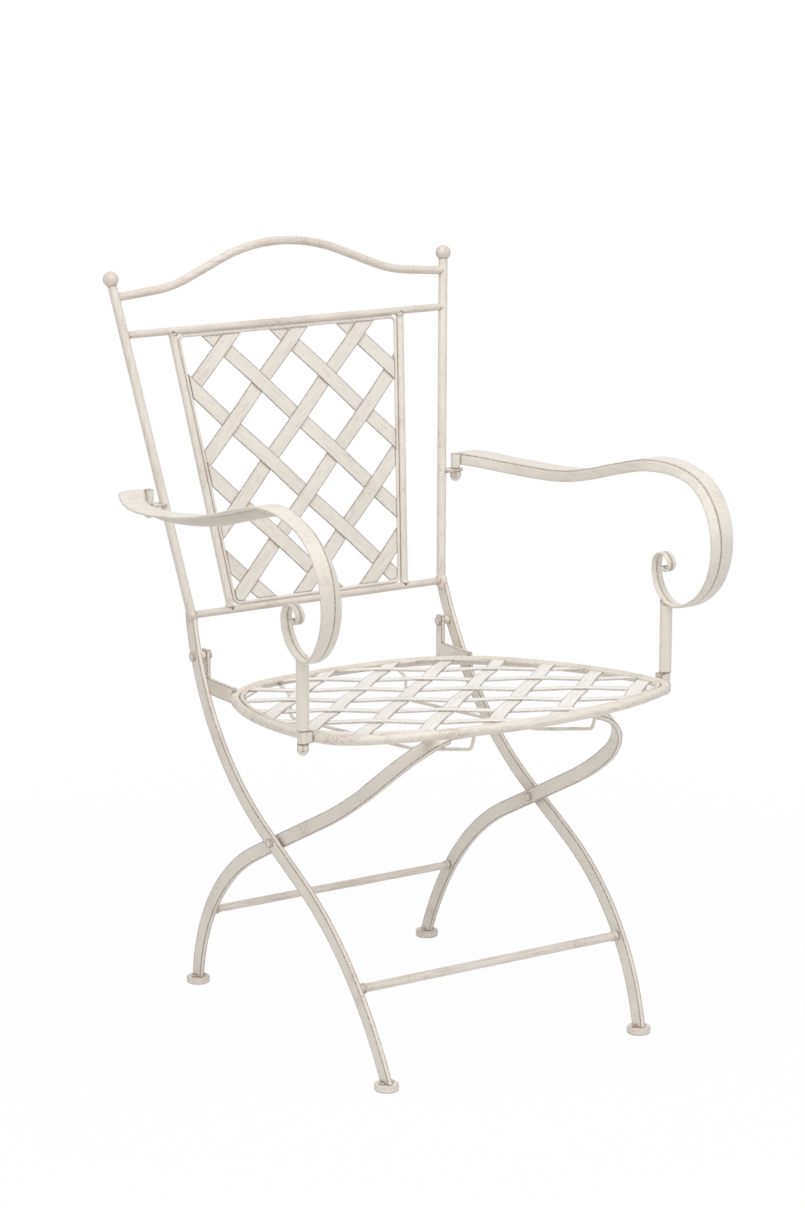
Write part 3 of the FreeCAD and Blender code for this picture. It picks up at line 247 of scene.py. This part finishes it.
# Distance along the line, outer edge, crease, flange, fold in degrees, lift off the line
arm_shape = np.array((
    (16, 271.0, 237.8, 12.4, 90, 3.7), (24, 276.0, 239.0, 12.4, 90, 3.4),
    (32, 280.5, 243.0, 12.4, 90, 2.8), (45, 286.0, 250.5, 12.4, 88, 1.9),
    (60, 291.5, 259.0, 12.4, 86, 0.2), (75, 296.0, 265.0, 12.4, 84, -1.4),
    (95, 301.0, 269.5, 12.4, 81, -1.8), (120, 304.5, 272.0, 12.4, 80, -1.9),
    (145, 305.5, 272.8, 12.4, 80, -1.2), (165, 304.5, 272.0, 12.4, 81, -0.2),
    (190, 302.0, 269.5, 12.4, 84, 0.6), (220, 299.5, 267.0, 12.4, 87, 1.0),
    (260, 297.5, 265.2, 12.4, 90, 1.3), (340, 297.0, 264.5, 12.4, 90, 1.2),
    (376, 297.0, 264.5, 12.4, 90, 0.4), (420, 297.8, 270.0, 12.6, 79, 0),
    (455, 298.6, 276.0, 11.2, 68, 0), (488, 299.0, 279.0, 10.5, 60, 0),
    (540, 297.2, 278.6, 11.0, 41, 0), (595, 295.0, 278.0, 11.5, 22, 0),
    (659, 291.0, 276.0, 10.0, 8, 0), (702, 283.0, 271.0, 8.0, 4, 0),
    (720, 275.5, 267.0, 5.6, 0.5, 0), (792, 277.0, 269.5, 5.0, 0.5, 0),
    (861, 274.0, 269.2, 3.2, 0.5, 0)), float)
shape_reach = 11.0       # the rows above are evened out over this far to each side
arm_end = 17.0           # the strip is cut off this far along the line
end_corner = 9.0         # radius of its outer corner there
off_crease = 40.0        # distance given to the narrow edges, out of reach of the brown crease line
crisp_angle = 40.0       # edges sharper than this many degrees stay crisp


def side_line(moves, start, heading, step):
    """Points along straight runs and arcs in the (y, z) plane. A run goes on by its length. An
    arc of radius r and turn t adds r (sin b - sin a, cos a - cos b), where a and b are the
    headings before and after. Gives distance, y, z and heading."""
    rows = []
    y, z = start
    a = math.radians(heading)
    far = 0.0
    for move in moves:
        turn = math.radians(move[1]) if len(move) > 1 else 0.0
        length = move[0] * abs(turn) if turn else move[0]
        count = max(6, round(length / (step if not turn else min(step, move[0] * 0.12))))
        share = np.linspace(0, 1, count, endpoint=False)
        b = a + turn * share
        if turn:
            r = move[0] * np.sign(turn)
            rows.append(np.stack([far + length * share, y + r * (np.sin(b) - math.sin(a)),
                                  z + r * (math.cos(a) - np.cos(b)), b]))
            y += r * (math.sin(a + turn) - math.sin(a))
            z += r * (math.cos(a) - math.cos(a + turn))
        else:
            rows.append(np.stack([far + length * share, y + length * share * math.cos(a),
                                  z + length * share * math.sin(a), b]))
            y += length * math.cos(a)
            z += length * math.sin(a)
        a += turn
        far += length
    rows.append(np.array([[far], [y], [z], [a]]))
    return np.concatenate(rows, axis=1)


def mesh_piece(name, grids, ring=False):
    """One closed mesh of grids of points in mm, shape (rows, columns, 3). Each row closes on
    itself. With ring the last row joins the first one, and otherwise a face caps each end."""
    places, faces, base = [], [], 0
    for grid in grids:
        n, m = grid.shape[:2]
        i, j = np.meshgrid(np.arange(n if ring else n - 1), np.arange(m), indexing="ij")
        up, on = (i + 1) % n, (j + 1) % m
        quads = np.stack([i * m + j, i * m + on, up * m + on, up * m + j], -1)
        faces += (quads.reshape(-1, 4) + base).tolist()
        if not ring:
            faces += [list(range(base + m - 1, base - 1, -1)),
                      list(range(base + (n - 1) * m, base + n * m))]
        places.append(grid.reshape(-1, 3) / 1000.0)
        base += n * m
    mesh = bpy.data.meshes.new(name)
    mesh.from_pydata(np.concatenate(places).tolist(), [], faces)
    skin = bmesh.new()
    skin.from_mesh(mesh)
    bmesh.ops.recalc_face_normals(skin, faces=skin.faces)
    skin.to_mesh(mesh)
    skin.free()
    mesh.shade_smooth()
    piece = bpy.data.objects.new(name, mesh)
    bpy.context.scene.collection.objects.link(piece)
    return piece


def crisp(piece):
    """Keep the sharp edges crisp, and shade the rest smooth."""
    mesh = bmesh.new()
    mesh.from_mesh(piece.data)
    for edge in mesh.edges:
        edge.smooth = (len(edge.link_faces) == 2
                       and edge.calc_face_angle(0.0) < math.radians(crisp_angle))
    mesh.to_mesh(piece.data)
    mesh.free()


def arm_strip(side):
    """Folded sheet carried along the side line. Across it, the middle of the sheet runs from the
    outer edge to the crease, turns down through the fold on a small radius, and runs on by the
    flange; its two faces lie half a sheet to each side and are joined by half circles. Gives the
    points, and for each one its distance from the crease and along the line."""
    line = side_line(arm_moves, arm_start, arm_heading, arm_step)
    first = np.array([[arm_end], [np.interp(arm_end, line[0], line[1])],
                      [np.interp(arm_end, line[0], line[2])], [line[3, 0]]])
    far, y, z, heading = np.concatenate([first, line[:, line[0] >= arm_end]], axis=1)
    # Sizes at each point of the line, with the outer corner rounded off at the cut end
    reach = np.linspace(-shape_reach, shape_reach, 9)[:, None]
    outer, crease, flange, fold, lift = [
        np.interp(far + reach, arm_shape[:, 0], arm_shape[:, column]).mean(axis=0)[:, None]
        for column in range(1, 6)]
    near = np.clip(arm_end + end_corner - far, 0, end_corner)[:, None]
    outer = outer - (end_corner - np.sqrt(end_corner ** 2 - near ** 2))
    fold = np.radians(fold)
    round_off = np.maximum(fold_radius, least_bend / fold)
    tuck = round_off * np.tan(fold / 2)
    inward, hang = crease + tuck - outer, flange - tuck
    # Middle of the sheet: flat part, bend, flange
    flat = np.linspace(0, 1, 5)[None, :]
    bend = fold * np.linspace(0, 1, 8)[None, 1:]
    down = np.linspace(0, 1, 4)[None, 1:]
    bent_x = crease + tuck - round_off * np.sin(bend)
    bent_h = round_off * (np.cos(bend) - 1)
    middle_x = np.concatenate([outer + inward * flat, bent_x,
                               bent_x[:, -1:] - hang * np.cos(fold) * down], axis=1)
    middle_h = np.concatenate([0 * outer * flat, bent_h,
                               bent_h[:, -1:] - hang * np.sin(fold) * down], axis=1)
    lean = np.concatenate([0 * outer * flat, bend, fold + 0 * down], axis=1)
    # The two faces, and the half circles at the flange's edge and at the outer edge
    half = sheet / 2
    tip = np.linspace(math.pi / 2, -math.pi / 2, 6)[None, 1:-1]
    top = (middle_x - half * np.sin(lean), middle_h + half * np.cos(lean))
    low = (middle_x + half * np.sin(lean), middle_h - half * np.cos(lean))
    end_x = middle_x[:, -1:] - half * (np.cos(fold) * np.cos(tip) + np.sin(fold) * np.sin(tip))
    end_h = middle_h[:, -1:] + half * (-np.sin(fold) * np.cos(tip) + np.cos(fold) * np.sin(tip))
    rim_x, rim_h = outer + half * np.cos(tip), half * np.sin(-tip) + 0 * outer
    across = np.concatenate([top[0], end_x, low[0][:, ::-1], rim_x], axis=1)
    above = np.concatenate([top[1], end_h, low[1][:, ::-1], rim_h], axis=1) + lift
    up_y, up_z = np.sin(heading)[:, None], -np.cos(heading)[:, None]
    # Distance from the middle of the bend. The paint reads only its size, not its sign
    gap = np.concatenate([inward - inward * flat + round_off * fold / 2,
                          round_off * (bend - fold / 2),
                          round_off * fold / 2 + hang * down], axis=1)
    gap[:, :flat.size - 1] *= -1
    aside = np.full((len(far), tip.size), off_crease)
    from_crease = np.concatenate([gap, aside, gap[:, ::-1], aside], axis=1)
    return (np.stack([side * across, y[:, None] + up_y * above, z[:, None] + up_z * above], -1),
            np.stack([from_crease, far[:, None] + 0 * from_crease], -1))


pin_place = (233.0, 239.5)                  # x and y of the pin, right side
pin_profile = ((2.4, 629.2), (2.4, 655.2), (2.1, 655.9), (1.2, 656.4), (0.3, 656.5))
roll_radius, roll_sheet = 5.0, 2.4          # middle of the rolled wall, and its thickness
roll_low, roll_high = 639.4, 658.9
roll_corner = 0.7                           # rounding of the wall's edges
roll_from, roll_to = -12, 334               # degrees in plan, from the outer side


def flange_roll(side):
    """Rolled end of the flange: a band of the sheet on a circle in plan round the pin, from the
    outer side round the rear, the inner side and the front, almost back to where it began. Its
    section is a rounded rectangle: a small circle pushed out to each corner."""
    turn = np.linspace(math.radians(roll_from), math.radians(roll_to), 52)[:, None]
    wall, tall = roll_sheet / 2, (roll_high - roll_low) / 2
    around = np.linspace(0, 2 * math.pi, 24, endpoint=False)[None, :]
    out = (roll_corner * np.cos(around)
           + (wall - roll_corner) * np.sign(np.cos(around) + 1e-9))
    high = (roll_corner * np.sin(around)
            + (tall - roll_corner) * np.sign(np.sin(around) + 1e-9))
    r = roll_radius + out
    return np.stack([side * (pin_place[0] + r * np.cos(turn)), pin_place[1] + r * np.sin(turn),
                     (roll_low + roll_high) / 2 + high + 0 * turn], -1)


def turned(centre, profile, count=28):
    """Turned shape about a vertical line through the centre: at each row of the profile, a
    circle of that radius at that height."""
    angle = np.linspace(0, 2 * math.pi, count, endpoint=False)[None, :]
    r, h = (np.array(profile, float)[:, k][:, None] for k in (0, 1))
    return np.stack([centre[0] + r * np.cos(angle), centre[1] + r * np.sin(angle),
                     h + 0 * angle], -1)


# Enamel on folded sheet, brushed along the arm: a clean cream with a fine brown line at the
# crease, partly coat rubbed off and partly painted shade. The rolled end is a little cleaner and
# has less painted shade in its corners
arm_paint = brushed_enamel("cream_enamel_on_bent_sheet", ahead, 0.35, "EAE5DC", "DED7CB",
                           crease=True, brush=0.8)
roll_paint = brushed_enamel("cream_enamel_on_rolled_sheet", upright, 0.3, seams_and_shade=0.2)
for side, word in ((1, "right"), (-1, "left")):
    grid, crease_map = arm_strip(side)
    strip = mesh_piece("arm_strip_" + word, [grid])
    corners = np.empty(len(strip.data.loops), np.int32)
    strip.data.loops.foreach_get("vertex_index", corners)
    strip.data.uv_layers.new(name="from_crease").data.foreach_set(
        "uv", crease_map.reshape(-1, 2)[corners].ravel())
    roll = mesh_piece("arm_roll_" + word, [flange_roll(side)])
    for piece, paint in ((strip, arm_paint), (roll, roll_paint)):
        crisp(piece)
        piece.data.materials.append(paint)
        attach(piece, "back_frame")
    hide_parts("arm_" + word)
pins = mesh_piece("arm_pins", [
    turned((side * pin_place[0], pin_place[1]), pin_profile) for side in (1, -1)])
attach(pins, "back_frame")
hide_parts("arm_bolts")

# Legs, arm posts and seat brackets: flat bar bent in an S, round bar for the arm posts, and
# plate for the brackets, welded or riveted on. Their enamel shows few brush marks, because the
# bends turn away from any one stroke, and brown arrises. Its cream is painted a little lighter
# than the posts', standing in for light on their shaded faces.
leg_paint = brushed_enamel("cream_enamel_painted_lighter_on_flat_bar", upright, 0.5, "EFE9DF", "E3DACF",
                           brush=0.3)
paint_nodes(leg_paint, *both("front_leg", "rear_leg", "arm_post", "seat_bracket"))

# Seat ring, the thinner rod inside it, and the guide wires below: round bar and wire, bent and
# welded. Their enamel is worn thin, so it is streaked and browner than the strips' beside it.
ring_paint = brushed_enamel("cream_enamel_on_bent_rod", level, 0.8, "ECE6DC", "DDD4C8",
                            brush=0.9)
paint_nodes(ring_paint, "seat_ring", "seat_inner_rod", *both("guide_wire"))

# Rivets, washers, bushes, cap nuts, eye plates, sleeves, feet and the arms' pins: small turned
# or cut steel pieces, painted with the rest. Primer and painted shade show round their edges and
# in the corners.
worn_paint = brushed_enamel("worn_enamel_on_small_parts", upright, 0.6, "EEE8DF", "E2D9CF",
                            brush=0.6, seams_and_shade=0.55)
paint_nodes(worn_paint, "scissor_rivets", "scissor_washers", "seat_rivets", "seat_bushes",
            "cap_nuts", *both("arm_eye", "arm_sleeve", "front_foot", "rear_foot"))
pins.data.materials.append(worn_paint)

# Welds: the bars are joined by hand-laid arc welds, which stand as lumpy rings round each bar's
# end, and as a lump where each leg meets its back post. The enamel over the rough metal is worn,
# so the welds show browner than the bars. Sizes in mm.
weld_paint = brushed_enamel("cream_enamel_over_weld_beads", level, 0.9, "E9E3DA", "DAD1C6")
draw = np.random.default_rng(11)


def bead(place, axis, half, fat):
    """Closed lumpy ring: a small circle of radius fat, stretched a little along the axis, carried
    round an ellipse about the axis whose half widths are half. The circle's radius is varied by
    three sines of the ellipse's angle, and the grid meets itself at the ends of the ring."""
    axis = np.array(axis, float) / np.linalg.norm(axis)
    side = np.cross(axis, (0.0, 0.0, 1.0) if abs(axis[2]) < 0.9 else (0.0, 1.0, 0.0))
    side /= np.linalg.norm(side)
    rise = np.cross(side, axis)
    u = np.linspace(0, 2 * math.pi, 40, endpoint=False)[:, None]
    v = np.linspace(0, 2 * math.pi, 10, endpoint=False)[None, :]
    phase = draw.uniform(0, 2 * math.pi, 3)
    swell = (1 + 0.22 * np.sin(2 * u + phase[0]) + 0.16 * np.sin(5 * u + phase[1])
             + 0.12 * np.sin(9 * u + phase[2]))
    out = fat * swell * np.cos(v)
    return (np.array(place, float) + (side * ((half[0] + out) * np.cos(u))[..., None])
            + (rise * ((half[1] + out) * np.sin(u))[..., None])
            + axis * (fat * swell * 1.15 * np.sin(v))[..., None])


def lump(place, half, lean):
    """Closed egg of weld metal over a butt joint: an ellipsoid of these half widths whose axis
    leans by lean mm for each mm of height, its radius varied a little by two sines."""
    u = np.linspace(0, 2 * math.pi, 24, endpoint=False)[None, :]
    v = np.linspace(-0.46 * math.pi, 0.46 * math.pi, 13)[:, None]
    swell = 1 + 0.05 * np.sin(3 * u + 5 * v) + 0.04 * np.sin(7 * u - 4 * v)
    rise = half[2] * np.sin(v) + 0 * u
    return np.stack([place[0] + half[0] * swell * np.cos(v) * np.cos(u) + lean[0] * rise,
                     place[1] + half[1] * swell * np.cos(v) * np.sin(u) + lean[1] * rise,
                     place[2] + rise], -1)


shoulders = mesh_piece("weld_shoulders", [
    lump((side * 191.0, 208.6, 494.5), (6.4, 9.4, 11.0), (side * 0.12, 0.17))
    for side in (1, -1)])
shoulders.data.materials.append(weld_paint)
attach(shoulders, "back_frame")

crosswise = (1, 0, 0)                 # directions of the bars that the beads go round
standing = (0, 0, 1)
sloping = (1, 0.0, 0.2)
leaning = (0.11, 0.20, 0.97)
foot_weld = (9.2, 3.4)                # half widths of a leg's flat bar where it meets its foot
back_beads, leg_beads = [], []
for side in (1, -1):
    back_beads += [
        bead((side * 184.4, 209.4, 496.0), crosswise, (4.6, 4.6), 1.5),     # lower rail
        bead((side * 236.4, 283.0, 850.0), crosswise, (4.6, 4.6), 1.5),     # upper rail
        bead((side * 243.2, 293.0, 897.5), sloping, (5.2, 5.2), 1.5),       # top rail
        bead((side * 133.3, 210.6, 500.6), leaning, (4.8, 4.8), 1.4),       # inner bar, bottom
        bead((side * 171.0, 281.6, 845.0), leaning, (4.8, 4.8), 1.4),       # inner bar, top
        bead((side * 185.4, -191.4, 111.5), crosswise, (5.3, 5.3), 1.3),    # front stretcher
        bead((side * 187.8, -245.3, 9.4), standing, foot_weld, 1.2)]        # front foot
    leg_beads += [
        bead((side * 176.6, 178.0, 111.5), crosswise, (4.9, 4.9), 1.3),     # rear stretcher
        bead((side * 178.9, 224.3, 9.4), standing, foot_weld, 1.2),         # rear foot
        bead((side * 105.0, -252.0, 425.7), crosswise, (4.0, 4.0), 1.5)]    # slide rod
for body, beads in (("back_frame", back_beads), ("leg_frame", leg_beads)):
    welds = mesh_piece("weld_beads_" + body, beads, ring=True)
    welds.data.materials.append(weld_paint)
    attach(welds, body)

# Floor: a large pale disc that shows white to the camera and keeps the chair's shadow. Near the
# chair a small share of its dull white is seen, and further off none.
bpy.ops.mesh.primitive_circle_add(vertices=96, radius=9.0, fill_type="NGON")
floor = bpy.context.object
floor.name = "floor"
floor_paint = bpy.data.materials.new("floor_white")
floor_paint.use_nodes = True
tree = floor_paint.node_tree
dull = tree.nodes["Principled BSDF"]
dull.inputs["Base Color"].default_value = (0.85, 0.85, 0.85, 1)
dull.inputs["Roughness"].default_value = 0.9
path = add(tree, "ShaderNodeLightPath")
seen = add(tree, "ShaderNodeMath", {
    0: path.outputs["Is Camera Ray"], 1: path.outputs["Is Glossy Ray"]}, operation="MAXIMUM")
spot = add(tree, "ShaderNodeVectorMath", {
    0: add(tree, "ShaderNodeTexCoord").outputs["Object"]}, operation="LENGTH")
whiter = add(tree, "ShaderNodeMapRange", {
    "Value": spot.outputs["Value"], "From Min": 0.6, "From Max": 1.6,
    "To Min": 0.96, "To Max": 1.0})
share = add(tree, "ShaderNodeMath", {0: seen.outputs[0], 1: whiter.outputs[0]},
            operation="MULTIPLY")
glow = add(tree, "ShaderNodeEmission", {"Color": (1, 1, 1, 1), "Strength": 1.0})
mix = add(tree, "ShaderNodeMixShader", {
    0: share.outputs[0], 1: dull.outputs[0], 2: glow.outputs[0]})
tree.links.new(mix.outputs[0], tree.nodes["Material Output"].inputs["Surface"])
floor.data.materials.append(floor_paint)

# World: white to the camera and in gloss, soft grey light on the object.
world = bpy.data.worlds.new("studio")
bpy.context.scene.world = world
world.use_nodes = True
tree = world.node_tree
tree.nodes.clear()
path = add(tree, "ShaderNodeLightPath")
seen = add(tree, "ShaderNodeMath", {
    0: path.outputs["Is Camera Ray"], 1: path.outputs["Is Glossy Ray"]}, operation="MAXIMUM")
soft = add(tree, "ShaderNodeBackground", {"Color": (1, 1, 1, 1), "Strength": 0.42})
white = add(tree, "ShaderNodeBackground", {"Color": (1, 1, 1, 1), "Strength": 1.0})
mix = add(tree, "ShaderNodeMixShader", {
    0: seen.outputs[0], 1: soft.outputs[0], 2: white.outputs[0]})
add(tree, "ShaderNodeOutputWorld", {"Surface": mix.outputs[0]})

# Lamps: four square panels, most of the light from above and the rest from low down and from
# both sides. Each row has its place and aim in metres, its power in watts and its side in metres.
for name, place, aim, energy, size in (
        ("overhead", (-0.6, -0.8, 3.4), (0, 0, 0.5), 64.0, 2.6),
        ("low", (-1.6, -3.2, 0.5), (0, 0, 0.25), 9.0, 1.6),
        ("key", (-2.6, -2.6, 2.2), (0, 0, 0.5), 20.0, 2.0),
        ("side", (2.6, -2.0, 1.6), (0, 0, 0.5), 10.0, 1.8)):
    panel = bpy.data.lights.new(name, "AREA")
    panel.energy = energy
    panel.size = size
    lamp = bpy.data.objects.new(name, panel)
    lamp.location = place
    ray = np.array(aim, float) - np.array(place, float)
    lamp.rotation_euler = (math.acos(-ray[2] / np.linalg.norm(ray)), 0.0,
                           math.atan2(ray[1], ray[0]) - math.pi / 2)
    bpy.context.scene.collection.objects.link(lamp)
